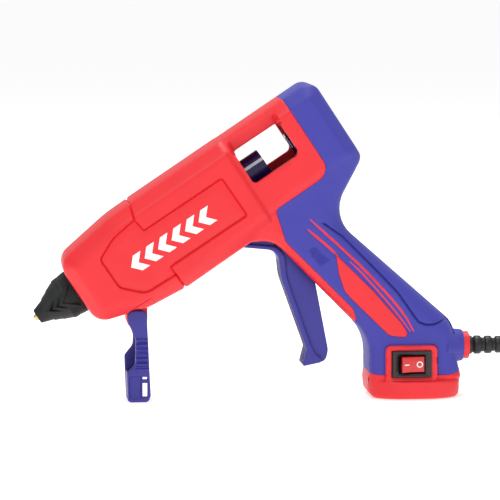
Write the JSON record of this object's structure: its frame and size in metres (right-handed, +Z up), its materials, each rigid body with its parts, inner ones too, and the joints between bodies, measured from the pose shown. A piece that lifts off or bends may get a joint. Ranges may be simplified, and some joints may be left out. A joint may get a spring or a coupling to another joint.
{
  "type": "glue gun",
  "caption": "Corded hot-melt glue gun with a tilted barrel, long trigger, overmoulded grip, rocker switch in the foot and a folding front leg.",
  "frame": {"origin": "On the ground below the middle of the gun, measured without the cord and its boot.", "axes": "+Z up, -X the way the nozzle points, +X the way the cord leaves, -Y the gun's left side with the switch."},
  "size_m": [0.4319, 0.0578, 0.1697],
  "materials": {
    "red_plastic": "satin moulded plastic, fine spark texture",
    "purple_rubber": "soft matt overmould",
    "purple_plastic": "satin moulded plastic",
    "black_plastic": "satin",
    "nozzle_rubber": "matt heat resistant silicone",
    "silicone": "matt",
    "navy_plastic": "gloss",
    "switch_red": "gloss",
    "cord_black": "matt flexible jacket",
    "wire_brown": "satin insulation",
    "wire_blue": "satin insulation",
    "wire_black": "satin insulation",
    "ceramic": "unglazed",
    "brass": "turned",
    "aluminium": "as cast",
    "steel": "zinc plated"
  },
  "bodies": {
    "casing": {"nozzle": "brass", "nozzle_cover": "nozzle_rubber", "melt_chamber": "aluminium", "ptc_heater": "ceramic", "electrode_upper": "brass", "electrode_lower": "brass", "thermal_fuse": "steel", "inlet_sleeve": "silicone", "sleeve_clamp": "steel", "chamber_cradle_front": "steel", "chamber_cradle_rear": "steel", "return_spring": "steel", "stick_inlet_bush": "navy_plastic", "housing_left": "red_plastic", "housing_right": "red_plastic", "grip_overmould_left": "purple_rubber", "grip_overmould_right": "purple_rubber", "housing_screw_1": "steel", "housing_screw_2": "steel", "housing_screw_3": "steel", "housing_screw_4": "steel", "housing_screw_5": "steel", "housing_screw_6": "steel", "housing_screw_7": "steel", "trigger_pin": "steel", "stand_pin": "steel", "switch_body": "black_plastic", "switch_terminal_1": "brass", "switch_terminal_2": "brass", "lead_neutral": "wire_blue", "lead_switched": "wire_black", "lead_live": "wire_brown", "cord_clamp": "black_plastic", "clamp_screw_1": "steel", "clamp_screw_2": "steel", "strain_relief": "cord_black", "cord_tube": "cord_black", "cord_coil": "cord_black", "plug_body": "cord_black", "plug_pin_1": "steel", "plug_pin_2": "steel"},
    "leg": {"stand_leg": "purple_plastic"},
    "trigger_lever": {"trigger": "purple_plastic"},
    "carriage": {"feed_carriage": "navy_plastic", "clamp_pin": "steel"},
    "clamp": {"clamp_lever": "steel"},
    "rocker": {"switch_rocker": "switch_red"}
  },
  "joints": [
    {"name": "leg_hinge", "type": "hinge", "parent": "casing", "child": "leg", "pos_m": [-0.0634, 0, 0.0445], "axis": [0, -1, 0], "range_deg": [0, 100]},
    {"name": "trigger_pull", "type": "hinge", "parent": "casing", "child": "trigger_lever", "pos_m": [0.0069, 0, 0.0942], "axis": [0, -1, 0], "range_deg": [0, 13], "stiffness_Nm_per_rad": 1.5, "springref_deg": -5.73},
    {"name": "carriage_slide", "type": "slide", "parent": "casing", "child": "carriage", "axis": [-0.8339, 0, -0.5519], "range_m": [0, 0.0064], "deforming": ["return_spring"]},
    {"name": "clamp_bite", "type": "hinge", "parent": "carriage", "child": "clamp", "pos_m": [-0.01515, 0, 0.12759], "axis": [0, -1, 0], "range_deg": [0, 6.1]},
    {"name": "rocker_switch", "type": "hinge", "parent": "casing", "child": "rocker", "pos_m": [0.084, -0.0192, 0.0194], "axis": [0, 0, -1], "range_deg": [0, 24]}
  ],
  "couplings": [
    {"joint": "carriage_slide", "follows": "trigger_pull", "m_per_rad": 0.027763},
    {"joint": "clamp_bite", "follows": "trigger_pull", "ratio": 0.4615}
  ]
}
